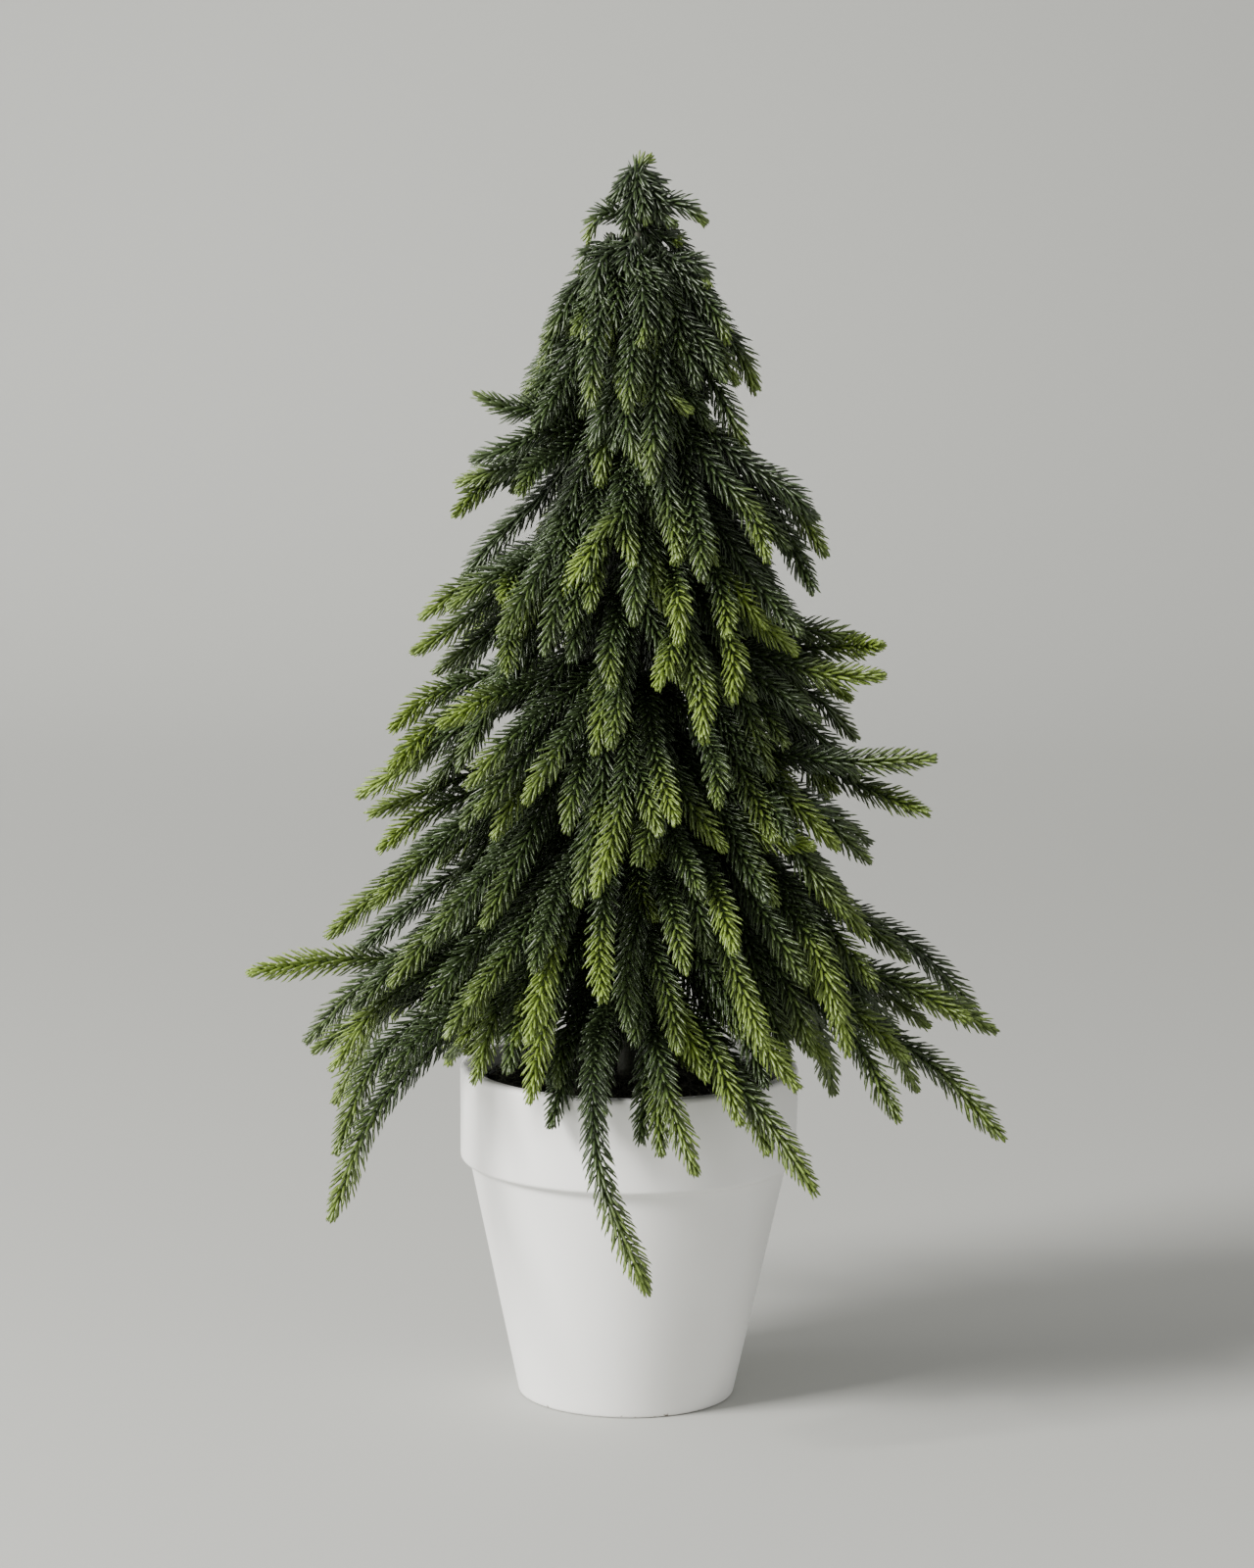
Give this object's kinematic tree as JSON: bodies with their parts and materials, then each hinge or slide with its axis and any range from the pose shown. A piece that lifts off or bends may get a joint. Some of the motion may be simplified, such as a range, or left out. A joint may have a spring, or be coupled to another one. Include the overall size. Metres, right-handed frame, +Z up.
{
  "type": "artificial tabletop tree",
  "caption": "Small artificial conifer in a white pot: moulded green sprigs on wired boughs round a taped trunk, set in a filled flowerpot.",
  "frame": {"origin": "centre of the pot's flat underside", "axes": "+Z up along the trunk, -Y towards the front of the tree, +X to its right as seen from the front"},
  "size_m": [0.3005, 0.2512, 0.5011],
  "materials": {
    "pot_white": "satin",
    "plaster": "matte",
    "floral_foam": "matte",
    "dark_fibre": "matte",
    "trunk_steel": "satin",
    "brown_tape": "matte",
    "foliage": "satin"
  },
  "bodies": {
    "tree": {"pot": "pot_white", "plaster_ballast": "plaster", "foam_plug": "floral_foam", "fibre_cover": "dark_fibre", "trunk_rod": "trunk_steel", "trunk_wrap": "brown_tape", "leader": "foliage", "bough_00_front": "foliage", "bough_01_right": "foliage", "bough_02_left": "foliage", "bough_03_front": "foliage", "bough_04_left": "foliage", "bough_05_right": "foliage", "bough_06_front": "foliage", "bough_07_left": "foliage", "bough_08_right": "foliage", "bough_09_right": "foliage", "bough_10_front": "foliage", "bough_11_left": "foliage", "bough_12_front": "foliage", "bough_13_front": "foliage", "bough_14_right": "foliage", "bough_15_left": "foliage", "bough_16_right": "foliage", "bough_17_front": "foliage", "bough_18_front": "foliage", "bough_19_right": "foliage", "bough_20_left": "foliage", "bough_21_front": "foliage", "bough_22_front": "foliage", "bough_23_back": "foliage", "bough_24_back": "foliage", "bough_25_back": "foliage", "bough_26_back": "foliage", "bough_27_back": "foliage", "bough_28_back": "foliage", "bough_29_back": "foliage", "bough_30_back": "foliage", "bough_31_back": "foliage", "bough_32_back": "foliage", "bough_33_back": "foliage"},
    "low_bough_left_body": {"low_bough_left": "foliage"},
    "low_bough_right_body": {"low_bough_right": "foliage"},
    "low_bough_front_body": {"low_bough_front": "foliage"},
    "low_bough_back_left_body": {"low_bough_back_left": "foliage"},
    "low_bough_back_right_body": {"low_bough_back_right": "foliage"}
  },
  "joints": [
    {"name": "low_bough_left_bend", "type": "hinge", "parent": "tree", "child": "low_bough_left_body", "pos_m": [-0.00638, -0.00287, 0.15968], "axis": [-0.41, 0.9121, 0], "range_deg": [-12, 12]},
    {"name": "low_bough_right_bend", "type": "hinge", "parent": "tree", "child": "low_bough_right_body", "pos_m": [0.00664, -0.00208, 0.16518], "axis": [-0.2991, -0.9542, 0], "range_deg": [-12, 12]},
    {"name": "low_bough_front_bend", "type": "hinge", "parent": "tree", "child": "low_bough_front_body", "pos_m": [0.00237, -0.00662, 0.15418], "axis": [-0.9417, -0.3365, 0], "range_deg": [-12, 12]},
    {"name": "low_bough_back_left_bend", "type": "hinge", "parent": "tree", "child": "low_bough_back_left_body", "pos_m": [-0.00509, 0.00468, 0.17068], "axis": [0.6768, 0.7362, 0], "range_deg": [-12, 12]},
    {"name": "low_bough_back_right_bend", "type": "hinge", "parent": "tree", "child": "low_bough_back_right_body", "pos_m": [0.00522, 0.00447, 0.17618], "axis": [0.6499, -0.76, 0], "range_deg": [-12, 12]}
  ]
}
